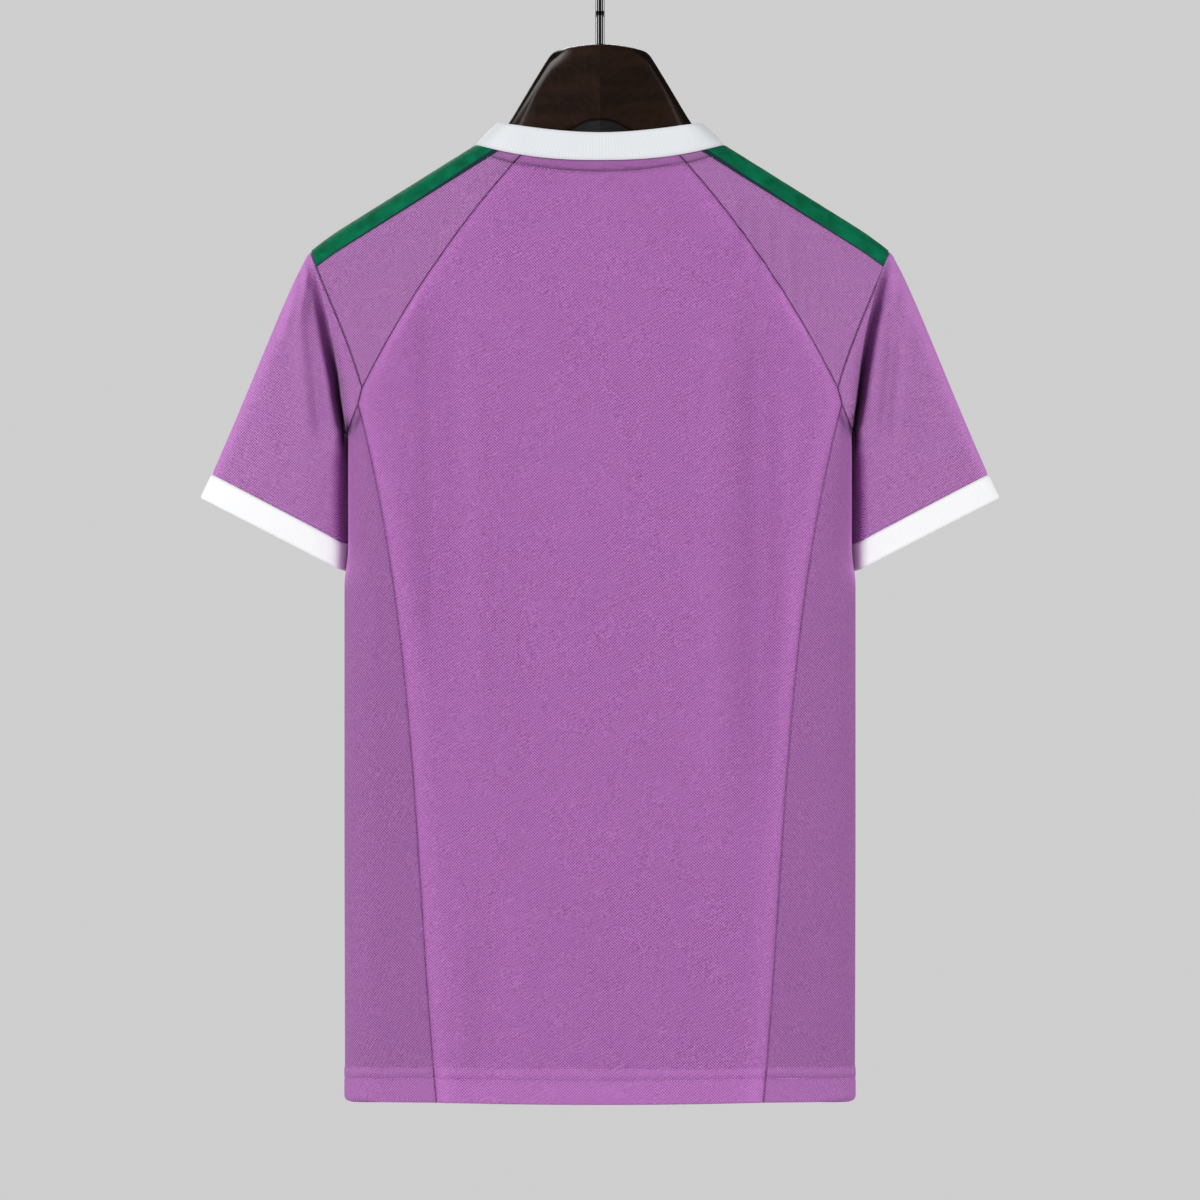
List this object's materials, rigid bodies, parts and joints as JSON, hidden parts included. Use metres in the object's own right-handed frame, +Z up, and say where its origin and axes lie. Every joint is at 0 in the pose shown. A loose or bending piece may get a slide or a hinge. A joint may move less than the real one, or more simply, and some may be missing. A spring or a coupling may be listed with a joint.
{
  "type": "goalkeeper jersey on a hanger",
  "caption": "Short-sleeved jersey with raglan shoulder yokes, side panels, rib collar and cuffs, hanging on a wooden hanger with a wire hook.",
  "frame": {"origin": "inside top of the hanger's hook, where a rail holds it", "axes": "+Z up, -Y out of the jersey's back, +X towards the wearer's right"},
  "size_m": [0.6108, 0.0599, 0.9161],
  "materials": {
    "purple_knit": "fine twill-faced polyester knit, soft sheen",
    "grey_purple_mesh": "fine polyester mesh, matt",
    "green_band": "smooth knit tape",
    "white_rib": "rib knit, matt",
    "dark_wood": "dark stained, satin varnish",
    "chrome_wire": "polished"
  },
  "bodies": {
    "root": {"back_panel": "purple_knit", "front_panel": "purple_knit", "side_panel_left": "grey_purple_mesh", "side_panel_right": "grey_purple_mesh", "yoke_back_left": "grey_purple_mesh", "yoke_back_right": "grey_purple_mesh", "yoke_front_left": "grey_purple_mesh", "yoke_front_right": "grey_purple_mesh", "shoulder_band_left": "green_band", "shoulder_band_right": "green_band", "sleeve_left": "purple_knit", "sleeve_right": "purple_knit", "cuff_left": "white_rib", "cuff_right": "white_rib", "collar": "white_rib", "hanger_left": "dark_wood", "hanger_right": "dark_wood", "hook": "chrome_wire"}
  },
  "joints": []
}
